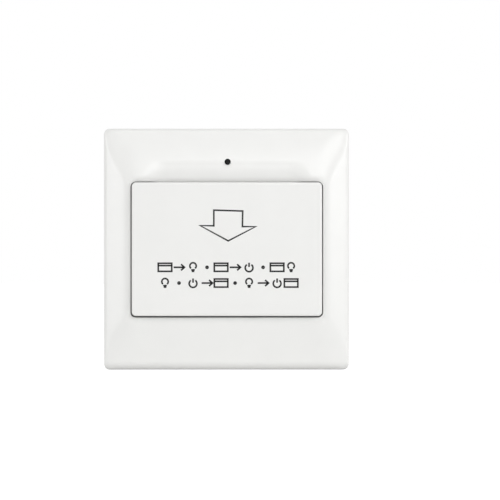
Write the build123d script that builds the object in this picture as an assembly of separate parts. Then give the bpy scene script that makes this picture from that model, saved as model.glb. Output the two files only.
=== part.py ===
from build123d import *
from math import sqrt
import os

# Hotel key card switch for a flush wall box.
# Frame: x to the right, y into the wall, z up. The wall's face is y = 0, and the origin lies on it,
# midway between the two wall screws. Places along y are given as distances out from the wall.

# The card that it takes
card_width = 54.0
card_length = 85.6
card_thickness = 0.8
card_side_play = 0.3
card_face_play = 0.4
card_inserted_share = 0.5

# Screws that hold the tray to the panel
tray_screw_radius = 0.7
tray_screw_head_radius = 1.5
tray_screw_head_height = 1.2
tray_screw_margin_share = 0.16
panel_boss_wall = 1.0
panel_boss_gap = 0.1

# Card pocket
tray_side_wall = 1.2
tray_back_wall = 1.6
tray_floor_wall = 1.4
tray_foot_gap = 1.4
tray_rim_gap = 0.2
ledge_width = 2.0
ledge_lead_in = 1.2
well_depth = 3.6

# Raised panel
panel_skin = 1.6
panel_skirt_wall = 1.2
panel_corner = 1.5
panel_edge_round = 0.8
panel_side_gap = 0.3
panel_foot_gap = 0.5
panel_head_gap = 0.2
panel_proud = 2.0
panel_flange_thickness = 1.4
panel_flange_length_share = 0.75

# Bezel
side_band = 9.4
end_band = 18.35
bezel_corner = 2.0
bezel_wall = 2.0
bezel_rim_out = 7.5
bezel_rim_round = 1.2
bezel_back_gap = 0.3
crown_rise = 5.5
crown_knee_share = 0.65
crown_knee_rise_share = 0.84
lip_wall = 1.6
lip_seat = 0.8
seat_gap = 0.3
mouth_reach = 4.6
mouth_wall = 2.6
mouth_floor_step = 0.2
mouth_slope_share = 1.375
bezel_rib_thickness = 1.0
bezel_rib_depth = 4.0
bezel_rib_place_shares = (-0.72, -0.3, 0.3, 0.72)
snap_nose_radius = 0.75
snap_nose_length = 8.0
snap_nose_out = 3.2
snap_place_share = 0.51
pry_notch_width = 8.0
pry_notch_height = 1.4

# Indicator
indicator_radius = 0.95
indicator_x = 0.4
indicator_rise = 7.0
indicator_bore_gap = 0.05
pipe_collar_radius = 1.6
pipe_collar_thickness = 1.0
pipe_collar_gap = 0.1
pipe_tube_radius = 2.2
pipe_led_gap = 0.3
led_width = 3.2
led_height = 1.6
led_thickness = 1.1

# Wall plate and rear box
plate_thickness = 2.0
plate_gap = 1.0
plate_rim_wall = 1.2
plate_rim_height = 3.0
snap_window_play = 0.8
box_height = 60.0
box_corner = 3.0
box_wall = 1.8
box_side_room = 5.5
vent_width = 2.0
vent_length = 9.0
vent_count = 5
vent_pitch = 5.0

# Wall screws
wall_screw_radius = 2.0
wall_screw_neck_radius = 1.75
wall_screw_head_radius = 3.8
wall_screw_head_height = 2.4
wall_screw_length = 18.0
wall_screw_head_room = 0.85
wall_slot_play = 0.2
wall_slot_length = 8.0
driver_slot_width = 0.9
driver_slot_depth_share = 0.5

# Inner cover
cover_thickness = 1.4
cover_overhang = 0.4
cover_step_height = 1.5
cover_step_wall = 1.2
cover_step_play = 0.2
cover_screw_radius = 1.25
cover_screw_length = 8.0
cover_screw_head_radius = 2.0
cover_screw_head_height = 1.2
cover_boss_wall = 1.35
cover_boss_weld = 0.4
cover_boss_length = 10.0
screw_play = 0.03
hole_play = 0.25

# Card lever and its switch
lever_width = 8.4
lever_arm = 6.0
lever_arm_radius = 1.2
lever_hub_radius = 1.5
lever_pin_radius = 0.8
lever_pin_play = 0.05
lever_side_play = 0.1
lever_nose_gap = 0.3
lever_hinge_drop = 1.6
lever_ear_wall = 1.2
lever_ear_radius = 1.55
lever_lug_radius = 0.9
lever_lug_play = 0.7
lever_nose_rise = 6.5
plunger_radius = 0.8
plunger_play = 0.05
plunger_rise = 1.2
plunger_depth = 1.4
plunger_gap = 0.1
switch_width = 12.8
switch_height = 5.8
switch_depth = 6.5
switch_play = 0.1
switch_cradle_wall = 1.2
switch_blade_width = 0.6
switch_blade_height = 1.2
switch_blade_length = 3.0
switch_blade_place_shares = (-0.39, 0, 0.39)

# Reader board
reader_board_width = 34.0
reader_board_thickness = 1.0
reader_board_gap = 1.0
reader_board_foot_gap = 1.5
reader_board_head = 3.4
standoff_radius = 2.2
standoff_side_share = 0.53
standoff_height_shares = (0.18, 0.58)
reader_screw_radius = 0.8
reader_screw_head_radius = 1.5
reader_screw_head_height = 0.8
reader_screw_length = 3.6
track_width = 0.4
track_thickness = 0.12
track_pitch = 0.9
track_turns = 4
track_edge = 1.3
track_height_share = 0.74
chip_width = 5.0
chip_thickness = 1.0
chip_place_share = 0.55

# Main board and what it carries
main_board_thickness = 1.6
main_board_play = 0.7
component_room = 3.2
component_round = 0.6
post_height = 5.7
post_radius = 2.4
post_side_share = 0.85
post_height_share = 0.66
board_screw_radius = 1.25
board_screw_length = 6.0
board_screw_head_radius = 2.0
board_screw_head_height = 1.2
board_notch_play = 0.5
relay_length = 29.0
relay_width = 12.7
relay_height = 15.7
relay_place_shares = (0, 0.43)
film_capacitor_length = 18.0
film_capacitor_width = 8.5
film_capacitor_height = 15.0
film_capacitor_place_shares = (-0.48, -0.07)
filter_capacitor_radius = 3.2
filter_capacitor_height = 11.0
filter_capacitor_place_shares = ((0.43, -0.47), (0.81, -0.47))
varistor_radius = 3.6
varistor_thickness = 4.0
varistor_lift = 1.0
varistor_leg_width = 0.8
varistor_place_shares = (-0.43, -0.79)
fuse_length = 8.5
fuse_width = 4.0
fuse_height = 7.5
fuse_place_shares = (0.15, -0.79)
rectifier_length = 6.5
rectifier_width = 5.0
rectifier_height = 2.5
rectifier_place_shares = (-0.68, -0.47)
controller_length = 5.0
controller_width = 4.4
controller_height = 1.5
controller_place_shares = (-0.21, -0.47)
link_pin_count = 5
link_pin_pitch = 2.54
link_pin_width = 0.64
link_pin_stick_out = 0.4
link_header_width = 2.5
link_header_height = 8.5
link_place_share = 0.9
link_window_play = 0.9

# Terminals
pole_count = 4
pole_pitch = 9.5
block_end_wall = 1.0
block_height = 12.0
block_depth = 12.0
block_foot_gap = 1.2
block_window_play = 0.2
block_board_gap = 0.3
cage_width = 6.6
cage_depth = 6.0
cage_length = 6.0
cage_wall = 0.8
cage_play = 0.15
cage_travel = 2.0
cage_foot = 1.4
contact_thickness = 0.8
contact_width = 4.4
contact_rise = 3.2
contact_foot_width = 1.2
contact_pin_stick_out = 0.7
terminal_screw_radius = 1.5
terminal_screw_play = 0.05
terminal_screw_head_radius = 2.9
terminal_screw_head_height = 1.1
terminal_screw_tip_gap = 0.05
terminal_ring_wall = 1.0
terminal_head_play = 0.1
wire_hole_radius = 1.5

# One overrun for every cut, one tolerance for picking edges and one chamfer for small components
overrun = 1.0
touch = 0.01
small_chamfer = 0.2

# Widths and heights that follow from the card
pocket_half = card_width / 2 + card_side_play
tray_wall_half = pocket_half + tray_side_wall
panel_boss_radius = tray_screw_radius + panel_boss_wall
panel_margin = panel_skirt_wall + 2 * (panel_boss_radius + panel_boss_gap)
panel_half = tray_wall_half + panel_margin
panel_width = 2 * panel_half
card_inserted = card_length * card_inserted_share
panel_height = card_inserted + tray_floor_wall + tray_foot_gap + panel_skirt_wall
panel_top = panel_height / 2
skirt_inner_half = panel_half - panel_skirt_wall
window_half = panel_half + panel_side_gap
window_top = panel_top + panel_head_gap
window_foot = -panel_top - panel_foot_gap
window_height = window_top - window_foot
window_middle = (window_top + window_foot) / 2
window_corner = panel_corner + panel_side_gap
bezel_half = window_half + side_band
bezel_half_height = panel_top + panel_foot_gap + end_band
bezel_inner_half = bezel_half - bezel_wall
bezel_inner_half_height = bezel_half_height - bezel_wall
plate_half = bezel_inner_half - plate_gap
plate_half_height = bezel_inner_half_height - plate_gap
pocket_floor = panel_top - card_inserted

# Places out from the wall that follow from the bezel and the card
crown_out = bezel_rim_out + crown_rise
panel_out = crown_out + panel_proud
panel_inner_out = panel_out - panel_skin
ledge_out = panel_inner_out - card_face_play - card_thickness
tray_front_out = ledge_out - well_depth
tray_back_out = tray_front_out - tray_back_wall
mouth_floor_out = tray_front_out + mouth_floor_step
mouth_back_out = mouth_floor_out - bezel_wall
lip_back_out = bezel_rim_out + lip_seat
flange_front_out = lip_back_out - seat_gap
flange_back_out = flange_front_out - panel_flange_thickness
reader_front_out = mouth_back_out - reader_board_gap
reader_back_out = reader_front_out - reader_board_thickness
cover_front_out = plate_thickness + cover_thickness

# Card lever and switch
lever_nose_z = pocket_floor + lever_nose_rise
lever_hinge_z = lever_nose_z + lever_arm
lever_nose_out = panel_inner_out - lever_nose_gap
lever_hinge_out = tray_front_out + lever_hinge_drop
lug_tip_out = tray_back_out + plunger_gap
plunger_top_out = lug_tip_out - plunger_gap
switch_front_out = plunger_top_out - plunger_rise
switch_back_out = switch_front_out - switch_depth
ear_inner = lever_width / 2 + lever_side_play

# Rear box, from the row of terminals outwards
block_half = (pole_count * pole_pitch) / 2 + block_end_wall
box_half = block_half + box_side_room
box_half_height = box_height / 2
box_inner_half = box_half - box_wall
box_inner_half_height = box_half_height - box_wall
screw_half_pitch = box_half + wall_screw_head_radius + wall_screw_head_room
wall_slot_width = 2 * (wall_screw_radius + wall_slot_play)
board_half = box_inner_half - main_board_play
board_half_height = box_inner_half_height - main_board_play
board_front_out = -(relay_height + component_room)
board_back_out = board_front_out - main_board_thickness
box_floor_out = board_back_out - post_height
box_back_out = box_floor_out - box_wall
step_inner_out = board_back_out - block_board_gap
step_back_out = step_inner_out - box_wall
block_foot = -box_inner_half_height + block_foot_gap
block_top = block_foot + block_depth
step_z = block_top + block_foot_gap + box_wall
block_back_out = board_back_out - block_height
cover_boss_radius = cover_screw_radius + cover_boss_wall
cover_screw_x = box_inner_half - cover_boss_radius + cover_boss_weld
cover_screw_z = box_inner_half_height - cover_boss_radius + cover_boss_weld
indicator_z = window_top + indicator_rise
reader_top = indicator_z + reader_board_head
reader_foot = lever_nose_z + switch_height / 2 + reader_board_foot_gap
reader_height = reader_top - reader_foot
led_out = reader_front_out + led_thickness
pipe_back_out = led_out + pipe_led_gap
collar_front_out = pipe_back_out + pipe_collar_gap + pipe_collar_thickness
link_z = board_half_height * link_place_share

# Terminals, from the main board back to the screws
cage_front_out = board_back_out - cage_foot
cage_back_out = cage_front_out - cage_depth
cage_foot_z = block_foot + block_end_wall
cage_middle_z = cage_foot_z + cage_play + cage_length / 2
contact_front_out = cage_front_out - cage_wall - contact_rise
contact_back_out = contact_front_out - contact_thickness
contact_foot_z = cage_foot_z + cage_length + 2 * cage_play + block_end_wall
contact_top_z = contact_foot_z + contact_foot_width
screw_tip_out = contact_back_out - terminal_screw_tip_gap
cavity_back_out = cage_back_out - cage_travel - cage_play
head_seat_out = cavity_back_out - terminal_ring_wall - terminal_head_play


def span(middle, width):
    """The two ends of a width laid about its middle."""
    return (middle - width / 2, middle + width / 2)


def block(across, up, out):
    """A box between two places across, two places up and two places out from the wall."""
    x, z, y = (sorted(ends) for ends in (across, up, out))
    solid = Box(x[1] - x[0], y[1] - y[0], z[1] - z[0])
    return Pos(sum(x) / 2, -sum(y) / 2, sum(z) / 2) * solid


def slab(width, height, corner, out, z=0):
    """A plate with round corners that stands parallel to the wall."""
    solid = extrude(RectangleRounded(width, height, corner), amount=max(out) - min(out))
    return Pos(0, -min(out), z) * Rot(90, 0, 0) * solid


def rod(radius, out, x, z):
    """A round bar square to the wall."""
    return Pos(x, -sum(out) / 2, z) * Rot(90, 0, 0) * Cylinder(radius, max(out) - min(out))


def cross_rod(radius, across, out, z):
    """A round bar that lies across, from left to right."""
    return Pos(sum(across) / 2, -out, z) * Rot(0, 90, 0) * Cylinder(radius, max(across) - min(across))


def upright_rod(radius, up, x, out):
    """A round bar that stands up."""
    return Pos(x, -out, sum(up) / 2) * Cylinder(radius, max(up) - min(up))


def quarters(x, z):
    """Four places, one in each quarter."""
    return [(side * x, end * z) for side in (-1, 1) for end in (-1, 1)]


def group(solids):
    """Separate solids kept together as one piece of the parts list."""
    return Compound(children=[solid for item in solids for solid in item.solids()])


def screw(x, z, seat_out, direction, sizes):
    """A slotted screw whose head stands on its seat and whose shank runs the other way."""
    radius, length, head_radius, head_height = sizes
    head_end = seat_out + direction * head_height
    shank = rod(radius, (seat_out - direction * length, seat_out), x, z)
    head = rod(head_radius, (seat_out, head_end), x, z)
    slot_floor = head_end - direction * head_height * driver_slot_depth_share
    slot_end = head_end + direction * overrun
    across = span(x, 2 * (head_radius + overrun))
    return shank + head - block(across, span(z, driver_slot_width), (slot_floor, slot_end))


# Bezel


def crown_height(share):
    """How far out the crown stands, at a share of the way from the rim to the window."""
    bend = 1 - 2 * crown_knee_share
    turn = (sqrt(crown_knee_share**2 + bend * share) - crown_knee_share) / bend
    return bezel_rim_out + crown_rise * (2 * turn * (1 - turn) * crown_knee_rise_share + turn**2)


def crown_share_at(rise):
    """The share of the way from the rim to the window at a height above the window's top edge."""
    return 1 - rise / (bezel_half_height - window_top)


def arch(ends, window, inset):
    """A long prism whose outline curves up from two ends to the window's two edges."""
    low = bezel_rim_out - inset
    high = crown_out - inset
    knee_out = low + crown_rise * crown_knee_rise_share
    back = 0 if inset else bezel_back_gap
    curves = []
    for end, edge in zip(ends, window):
        shift = inset if end < edge else -inset
        knee = end + (edge - end) * crown_knee_share + shift
        curves.append(Bezier((end + shift, -low), (knee, -knee_out), (edge + shift, -high)))
    left, right = curves
    frame = Polyline(left @ 0, ((left @ 0).X, -back), ((right @ 0).X, -back), right @ 0)
    outline = make_face([left, right, frame, Line(left @ 1, right @ 1)])
    if not inset:
        rim = outline.vertices().filter_by_position(Axis.Y, -low - touch, -low + touch)
        outline = fillet(rim, bezel_rim_round)
    return extrude(outline, amount=2 * bezel_half, both=True)


def crown_shape(inset):
    """The pillow of the bezel, two arches that meet in hips, made smaller all round by an inset."""
    across = arch((-bezel_half, bezel_half), (-window_half, window_half), inset)
    up = arch((-bezel_half_height, bezel_half_height), (window_foot, window_top), inset)
    size = (2 * (bezel_half - inset), 2 * (bezel_half_height - inset))
    return across & Rot(0, -90, 0) * up & slab(*size, bezel_corner, (0, panel_out))


def mouth_cutter():
    """The space over the card's way in: sloping ends, and an elliptic roll at the top."""
    middle_out = (mouth_floor_out + ledge_out) / 2
    floor_half = pocket_half + mouth_slope_share * (mouth_floor_out - middle_out)
    front_half = pocket_half + mouth_slope_share * (panel_out - middle_out)
    outline = Polygon(
        (-floor_half, -mouth_floor_out),
        (-front_half, -panel_out),
        (front_half, -panel_out),
        (floor_half, -mouth_floor_out),
        align=None,
    )
    cutter = Pos(0, 0, window_top - overrun) * extrude(outline, amount=mouth_reach + overrun)
    roll_rise = crown_height(crown_share_at(mouth_reach)) - mouth_floor_out
    roll = extrude(Plane.YZ * Ellipse(roll_rise, mouth_reach), amount=bezel_half, both=True)
    return cutter - Pos(0, -mouth_floor_out, window_top + mouth_reach) * roll


def window_lip():
    """The wall that goes back from the window's edge, for the panel's flanges to pull on."""
    size = (2 * (window_half + lip_wall), window_height + 2 * lip_wall)
    depth = (lip_back_out, crown_out - bezel_wall / 2)
    return slab(*size, window_corner + lip_wall, depth, window_middle)


def mouth_beam():
    """The thicker wall behind the card's mouth."""
    up = (window_top, window_top + mouth_wall)
    return block((-window_half, window_half), up, (mouth_back_out, crown_out - bezel_wall / 2))


def bezel_ribs():
    """Stiffening ribs between the top and bottom walls and the crown."""
    ribs = []
    for share in bezel_rib_place_shares:
        for end in (-1, 1):
            far = end * (bezel_half_height - bezel_wall / 2)
            depth = (plate_thickness + plate_rim_height + seat_gap, bezel_rim_out)
            across = span(bezel_inner_half * share, bezel_rib_thickness)
            ribs.append(block(across, (far, far - end * bezel_rib_depth), depth))
    return ribs


def snap_noses():
    """Four half-round noses that hold the bezel in the windows of the plate's rim."""
    places = quarters(plate_half * snap_place_share, bezel_inner_half_height)
    return [cross_rod(snap_nose_radius, span(x, snap_nose_length), snap_nose_out, z) for x, z in places]


def bezel():
    """The white frame: a crowned shell with the panel's window and the card's mouth."""
    outer = crown_shape(0)
    shell = outer - crown_shape(bezel_wall)
    tube = rod(pipe_tube_radius, (collar_front_out + pipe_collar_gap, crown_out), indicator_x, indicator_z)
    inside = window_lip() + mouth_beam() + tube
    for rib in bezel_ribs():
        inside += rib
    shell += inside & outer
    for nose in snap_noses():
        shell += nose
    shell -= slab(2 * window_half, window_height, window_corner, (0, panel_out), window_middle)
    shell -= mouth_cutter()
    shell -= rod(indicator_radius + indicator_bore_gap, (0, panel_out), indicator_x, indicator_z)
    notch_up = (-bezel_half_height - overrun, -bezel_inner_half_height + overrun)
    return shell - block(span(0, pry_notch_width), notch_up, (0, bezel_back_gap + pry_notch_height))


# Panel and pocket


def tray_screw_places():
    """Where the tray is screwed to the panel's bosses."""
    x = tray_wall_half + panel_boss_gap + panel_boss_radius
    return quarters(x, panel_top - panel_height * tray_screw_margin_share)


def card_panel():
    """The raised front panel, with its skirts, its bosses and the two flanges behind the bezel's lip."""
    face = slab(panel_width, panel_height, panel_corner, (panel_inner_out, panel_out))
    face = fillet(face.faces().sort_by(Axis.Y)[0].edges(), min(panel_edge_round, panel_skin / 2))
    skirt = slab(panel_width, panel_height, panel_corner, (flange_back_out, panel_inner_out))
    hollow_up = (-panel_top + panel_skirt_wall, panel_top + overrun)
    panel = face + (skirt - block((-skirt_inner_half, skirt_inner_half), hollow_up, (0, panel_inner_out)))
    flange_half = panel_top * panel_flange_length_share
    for side in (-1, 1):
        across = (side * (panel_half - panel_skirt_wall / 2), side * (window_half + lip_wall))
        panel += block(across, (-flange_half, flange_half), (flange_back_out, flange_front_out))
    for x, z in tray_screw_places():
        panel += rod(panel_boss_radius, (tray_front_out + panel_boss_gap, panel_inner_out), x, z)
    for x, z in tray_screw_places():
        panel -= rod(tray_screw_radius + screw_play, (0, panel_inner_out), x, z)
    return panel


def tray_side(side):
    """One side wall of the pocket, with its ledge and the ear of the lever's pin."""
    up = (pocket_floor - tray_floor_wall, panel_top - tray_rim_gap)
    wall_across = (side * pocket_half, side * tray_wall_half)
    wall = block(wall_across, up, (tray_back_out, panel_inner_out - panel_boss_gap))
    ledge = block((side * (pocket_half - ledge_width), side * tray_wall_half), up, (tray_back_out, ledge_out))
    lead_in = ledge.edges().filter_by(Axis.X).group_by(Axis.Z)[-1].sort_by(Axis.Y)[0]
    ledge = chamfer(lead_in, ledge_lead_in)
    ear_across = (side * ear_inner, side * (ear_inner + lever_ear_wall))
    ear = cross_rod(lever_ear_radius, ear_across, lever_hinge_out, lever_hinge_z)
    ear += block(ear_across, span(lever_hinge_z, 2 * lever_ear_radius), (tray_back_out, lever_hinge_out))
    return wall + ledge + ear


def pocket_tray():
    """Back wall, side walls, ledges and floor of the card's pocket, with the ears of the lever's pin."""
    foot = pocket_floor - tray_floor_wall
    half = skirt_inner_half - tray_rim_gap
    tray = block((-half, half), (foot, panel_top - tray_rim_gap), (tray_back_out, tray_front_out))
    floor_out = (tray_back_out, panel_inner_out - panel_boss_gap)
    tray += block((-tray_wall_half, tray_wall_half), (foot, pocket_floor), floor_out)
    tray += tray_side(-1)
    tray += tray_side(1)
    tray -= cross_rod(lever_pin_radius, lever_pin_span(), lever_hinge_out, lever_hinge_z)
    lug_up = span(lever_nose_z, 2 * (lever_lug_radius + lever_lug_play))
    tray -= block((-ear_inner, ear_inner), lug_up, (tray_back_out - overrun, tray_front_out + overrun))
    for x, z in tray_screw_places():
        tray -= rod(tray_screw_radius + hole_play, (0, panel_inner_out), x, z)
    return tray


def tray_screws():
    """Four small screws through the tray into the panel's bosses."""
    length = tray_back_wall + well_depth
    sizes = (tray_screw_radius, length, tray_screw_head_radius, tray_screw_head_height)
    return group([screw(x, z, tray_back_out, -1, sizes) for x, z in tray_screw_places()])


def light_pipe():
    """The smoked pipe that carries the indicator's light to the face of the bezel."""
    face_out = crown_height(crown_share_at(indicator_rise)) - indicator_bore_gap
    pipe = rod(indicator_radius, (pipe_back_out, face_out), indicator_x, indicator_z)
    collar_out = (pipe_back_out + pipe_collar_gap, collar_front_out)
    return pipe + rod(pipe_collar_radius, collar_out, indicator_x, indicator_z)


# Lever and switch


def lever_pin_span():
    """Where the lever's pin ends, left and right."""
    return span(0, 2 * (ear_inner + lever_ear_wall))


def lever_bar(start, end, radius):
    """A bar of the lever with a round end at each of two (z, out) places."""
    middle = (-(start[1] + end[1]) / 2, (start[0] + end[0]) / 2)
    outline = SlotCenterPoint(middle, (-end[1], end[0]), 2 * radius)
    return extrude(Plane.YZ * outline, amount=lever_width / 2, both=True)


def card_lever():
    """The flap in the pocket that the card pushes back, with the lug that reaches the switch behind."""
    hinge = (lever_hinge_z, lever_hinge_out)
    nose = (lever_nose_z, lever_nose_out - lever_arm_radius)
    lug = (lever_nose_z, lug_tip_out + lever_lug_radius)
    lever = lever_bar(hinge, nose, lever_arm_radius) + lever_bar(nose, lug, lever_lug_radius)
    lever += cross_rod(lever_hub_radius, span(0, lever_width), lever_hinge_out, lever_hinge_z)
    bore_across = span(0, lever_width + 2 * overrun)
    return lever - cross_rod(lever_pin_radius + lever_pin_play, bore_across, lever_hinge_out, lever_hinge_z)


def lever_pin():
    """The steel pin that the flap turns on, held in the tray's ears."""
    return cross_rod(lever_pin_radius, lever_pin_span(), lever_hinge_out, lever_hinge_z)


def switch_plunger():
    """The switch's button."""
    return rod(plunger_radius, (switch_front_out - plunger_depth, plunger_top_out), 0, lever_nose_z)


def card_switch():
    """The snap-action switch, with its three blades at the back."""
    up = span(lever_nose_z, switch_height)
    body = block(span(0, switch_width), up, (switch_back_out, switch_front_out))
    body = chamfer(body.edges().filter_by(Axis.Y), small_chamfer)
    well_out = (switch_front_out - plunger_depth - plunger_rise, switch_front_out + overrun)
    body -= rod(plunger_radius + plunger_play, well_out, 0, lever_nose_z)
    for share in switch_blade_place_shares:
        across = span(switch_width * share, switch_blade_width)
        blade_up = span(lever_nose_z, switch_blade_height)
        body += block(across, blade_up, (switch_back_out - switch_blade_length, switch_back_out))
    return body


# Wall plate and rear box


def cover_screw_places():
    """Where the inner cover is screwed to the rear box."""
    return quarters(cover_screw_x, cover_screw_z)


def post_places():
    """Where the main board is screwed to its posts."""
    return [(side * board_half * post_side_share, board_half_height * post_height_share) for side in (-1, 1)]


def wall_slots(out):
    """The two slots for the wall screws."""
    slot = extrude(SlotOverall(wall_slot_length, wall_slot_width), amount=max(out) - min(out))
    return [Pos(side * screw_half_pitch, -min(out), 0) * Rot(90, 0, 0) * slot for side in (-1, 1)]


def snap_windows():
    """Openings in the plate's rim behind the bezel's snap noses."""
    width = snap_nose_length + 2 * snap_window_play
    height = span(snap_nose_out, 2 * snap_nose_radius + snap_window_play)
    windows = []
    for x, end in quarters(plate_half * snap_place_share, 1):
        up = (end * (plate_half_height + overrun), end * (plate_half_height - plate_rim_wall - overrun))
        windows.append(block(span(x, width), up, height))
    return windows


def vents():
    """Slots through the top and bottom walls of the rear box."""
    slots = []
    for number in range(vent_count):
        across = span(vent_pitch * (number - (vent_count - 1) / 2), vent_width)
        for end in (-1, 1):
            up = (end * (box_half_height + overrun), end * (box_inner_half_height - overrun))
            slots.append(block(across, up, span(box_floor_out / 2, vent_length)))
    return slots


def rear_box():
    """The rear box, stepped at the back round the terminals."""
    box = slab(2 * box_half, box_height, box_corner, (box_back_out, 0))
    box -= block((-box_half, box_half), (-box_half_height, step_z), (box_back_out - overrun, step_back_out))
    return box


def rear_room():
    """The space inside the rear box, open at the plate."""
    room_out = (box_floor_out, plate_thickness + plate_rim_height)
    room = slab(2 * box_inner_half, 2 * box_inner_half_height, box_corner - box_wall, room_out)
    step_up = (-box_half_height, step_z + box_wall)
    return room - block((-box_half, box_half), step_up, (box_floor_out - overrun, step_inner_out))


def base_housing():
    """Wall plate and rear box in one moulding."""
    rim_out = plate_thickness + plate_rim_height
    base = slab(2 * plate_half, 2 * plate_half_height, bezel_corner, (0, rim_out))
    inner_size = (2 * (plate_half - plate_rim_wall), 2 * (plate_half_height - plate_rim_wall))
    inner_corner = bezel_corner - plate_rim_wall / 2
    base -= slab(*inner_size, inner_corner, (plate_thickness, rim_out + overrun))
    for window in snap_windows():
        base -= window
    base += rear_box()
    base -= rear_room()
    block_across = span(0, 2 * (block_half + block_window_play))
    block_up = (block_foot - block_window_play, block_top + block_window_play)
    base -= block(block_across, block_up, (step_back_out - overrun, step_inner_out + overrun))
    for x, z in cover_screw_places():
        boss_out = (plate_thickness - cover_boss_length, plate_thickness)
        base += rod(cover_boss_radius, boss_out, x, z)
        base -= rod(cover_screw_radius + screw_play, boss_out, x, z)
    for x, z in post_places():
        base += rod(post_radius, (box_floor_out, board_back_out), x, z)
        base -= rod(board_screw_radius + screw_play, (box_floor_out, board_back_out + overrun), x, z)
    for cut in wall_slots((-overrun, rim_out)) + vents():
        base -= cut
    return base


def mounting_screws():
    """Two waisted machine screws: a neck in the plate's slot and the full thread behind the wall's face."""
    sizes = (wall_screw_neck_radius, plate_thickness, wall_screw_head_radius, wall_screw_head_height)
    screws = []
    for x in (-screw_half_pitch, screw_half_pitch):
        thread = rod(wall_screw_radius, (-wall_screw_length, 0), x, 0)
        screws.append(screw(x, 0, plate_thickness, 1, sizes) + thread)
    return group(screws)


# Inner cover


def cover_step():
    """The low wall behind the inner cover that finds the rear box's opening."""
    half = box_inner_half - cover_step_play
    half_height = box_inner_half_height - cover_step_play
    corner = box_corner - box_wall
    step_back = plate_thickness - cover_step_height
    step = slab(2 * half, 2 * half_height, corner, (step_back, plate_thickness))
    inner_size = (2 * (half - cover_step_wall), 2 * (half_height - cover_step_wall))
    step -= slab(*inner_size, corner / 2, (step_back - overrun, plate_thickness))
    for x, z in cover_screw_places():
        step -= rod(cover_boss_radius + cover_step_play, (step_back, plate_thickness), x, z)
    return step


def inner_cover():
    """The lid over the rear box, with its locating step, the switch's cradle and the board's stand-offs."""
    size = (2 * (box_half + cover_overhang), 2 * (box_half_height + cover_overhang))
    cover = slab(*size, box_corner, (plate_thickness, cover_front_out)) + cover_step()
    for x, z in standoff_places():
        cover += rod(standoff_radius, (cover_front_out, reader_back_out), x, z)
    width = switch_width + 2 * switch_play
    height = switch_height + 2 * switch_play
    pocket_back = switch_back_out - switch_play
    cradle_back = pocket_back - switch_cradle_wall
    front = cover_front_out + overrun
    cradle_across = span(0, width + 2 * switch_cradle_wall)
    cradle_up = span(lever_nose_z, height + 2 * switch_cradle_wall)
    cover += block(cradle_across, cradle_up, (cradle_back, plate_thickness))
    cover -= block(span(0, width), span(lever_nose_z, height), (pocket_back, front))
    blade_across = span(0, width - switch_cradle_wall)
    cover -= block(blade_across, span(lever_nose_z, 2 * switch_blade_height), (cradle_back - overrun, front))
    link_across = span(0, link_pin_count * link_pin_pitch + 2 * link_window_play)
    link_up = span(link_z, link_header_width + 2 * link_window_play)
    cover -= block(link_across, link_up, (0, front))
    for x, z in cover_screw_places():
        cover -= rod(cover_screw_radius + hole_play, (0, front), x, z)
    for x, z in standoff_places():
        cover -= rod(reader_screw_radius + screw_play, (plate_thickness - overrun, reader_front_out), x, z)
    return cover


def inner_cover_screws():
    """Four screws that hold the inner cover to the rear box."""
    sizes = (cover_screw_radius, cover_screw_length, cover_screw_head_radius, cover_screw_head_height)
    return group([screw(x, z, cover_front_out, 1, sizes) for x, z in cover_screw_places()])


# Reader board


def standoff_places():
    """Where the reader board is screwed to the inner cover."""
    x = reader_board_width / 2 * standoff_side_share
    heights = [reader_foot + reader_height * share for share in standoff_height_shares]
    return [(side * x, z) for side in (-1, 1) for z in heights]


def reader_board():
    """The board behind the pocket that reads the card."""
    board = block(span(0, reader_board_width), (reader_foot, reader_top), (reader_back_out, reader_front_out))
    for x, z in standoff_places():
        board -= rod(reader_screw_radius + hole_play, (0, panel_inner_out), x, z)
    for x in link_pin_places():
        board -= link_pin_hole(x, (reader_back_out, reader_front_out))
    return board


def reader_board_screws():
    """Four small screws that hold the reader board."""
    sizes = (reader_screw_radius, reader_screw_length, reader_screw_head_radius, reader_screw_head_height)
    return group([screw(x, z, reader_front_out, 1, sizes) for x, z in standoff_places()])


def track_turn(inset):
    """One turn of the antenna, which steps in to the next turn at its end."""
    half = reader_board_width / 2 - track_edge - inset
    low = reader_foot + track_edge + inset
    high = reader_foot + reader_height * track_height_share - inset
    next_high = high - track_pitch
    runs = [
        ((-half, half), (high - track_width, high)),
        ((half - track_width, half), (low, high)),
        ((-half, half), (low, low + track_width)),
        ((-half, -half + track_width), (low, next_high)),
        ((-half, -half + track_pitch), (next_high - track_width, next_high)),
    ]
    out = (reader_front_out, reader_front_out + track_thickness)
    return [block(across, up, out) for across, up in runs]


def antenna_track():
    """The flat copper spiral etched on the reader board."""
    runs = [run for turn in range(track_turns) for run in track_turn(turn * track_pitch)]
    track = runs[0]
    for run in runs[1:]:
        track += run
    return track


def reader_chip():
    """The reader's chip."""
    across = span(-reader_board_width / 2 * chip_place_share, chip_width)
    chip = block(across, span(indicator_z, chip_width), (reader_front_out, reader_front_out + chip_thickness))
    return chamfer(chip.faces().sort_by(Axis.Y)[0].edges(), small_chamfer)


def indicator_led():
    """The lamp behind the light pipe."""
    lamp = block(span(indicator_x, led_width), span(indicator_z, led_height), (reader_front_out, led_out))
    return chamfer(lamp.faces().sort_by(Axis.Y)[0].edges(), small_chamfer)


# Main board


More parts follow.
